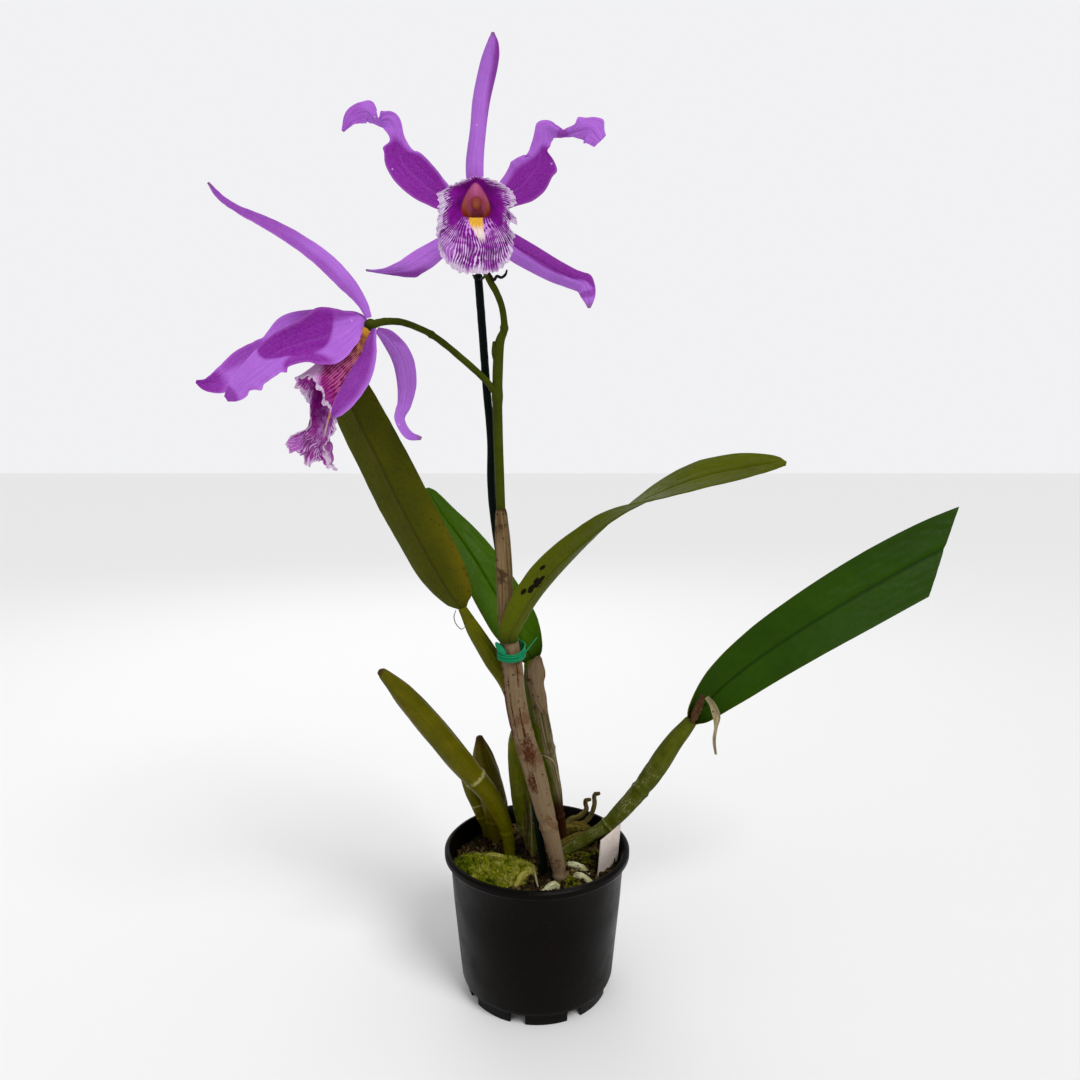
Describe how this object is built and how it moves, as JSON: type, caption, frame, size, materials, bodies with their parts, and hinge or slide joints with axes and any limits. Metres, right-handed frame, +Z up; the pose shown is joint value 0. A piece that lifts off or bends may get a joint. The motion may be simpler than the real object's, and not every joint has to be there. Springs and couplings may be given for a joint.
{
  "type": "potted cattleya orchid",
  "caption": "Cattleya orchid in a round black nursery pot, with violet blooms, strap leaves and old bulbs, tied to a stake.",
  "frame": {"origin": "centre of the pot's foot, in the plane that the pot stands on", "axes": "+Z up, -Y towards the plant's front, +X to the right as seen from the front"},
  "size_m": [0.4879, 0.1629, 0.5926],
  "materials": {
    "tepal": "thin violet petal tissue, satin",
    "lip": "frilled lip with magenta veins, satin",
    "column": "pale pink, satin",
    "leaf": "waxy green leaf, satin",
    "cane": "olive green bulb, satin",
    "stem": "green stem, satin",
    "dry_sheath": "dry papery sheath, matte",
    "rootstock": "woody, matte",
    "root": "pale root, matte",
    "moss": "moss, matte",
    "mix": "dark bark and humus, matte",
    "pot": "black moulded plastic, semi gloss",
    "stake": "plastic-coated, semi gloss",
    "tie": "soft green tie, satin",
    "label": "plain pale plastic, matte"
  },
  "bodies": {
    "root": {"front_cane": "dry_sheath", "left_cane": "cane", "rear_cane": "cane", "right_cane": "cane", "leafless_bulb": "cane", "short_bulb": "cane", "back_bulb": "cane", "centre_bulb": "cane", "stake": "stake", "rhizome": "rootstock", "white_root_1": "root", "white_root_2": "root", "white_root_3": "root", "pot": "pot", "plant_label": "label", "potting_mix": "mix", "moss": "moss", "left_leaf": "leaf", "rear_leaf": "leaf", "arching_leaf": "leaf", "right_leaf": "leaf", "flower_stem": "stem", "spathe": "dry_sheath", "old_spathe": "dry_sheath", "dry_shred": "dry_sheath", "tie": "tie", "top_bloom_dorsal_sepal": "tepal", "top_bloom_left_petal": "tepal", "top_bloom_right_petal": "tepal", "top_bloom_left_sepal": "tepal", "top_bloom_right_sepal": "tepal", "top_bloom_lip": "lip", "top_bloom_column": "column", "left_bloom_dorsal_sepal": "tepal", "left_bloom_near_petal": "tepal", "left_bloom_far_petal": "tepal", "left_bloom_outer_sepal": "tepal", "left_bloom_inner_sepal": "tepal", "left_bloom_lip": "lip", "left_bloom_column": "column"}
  },
  "joints": []
}
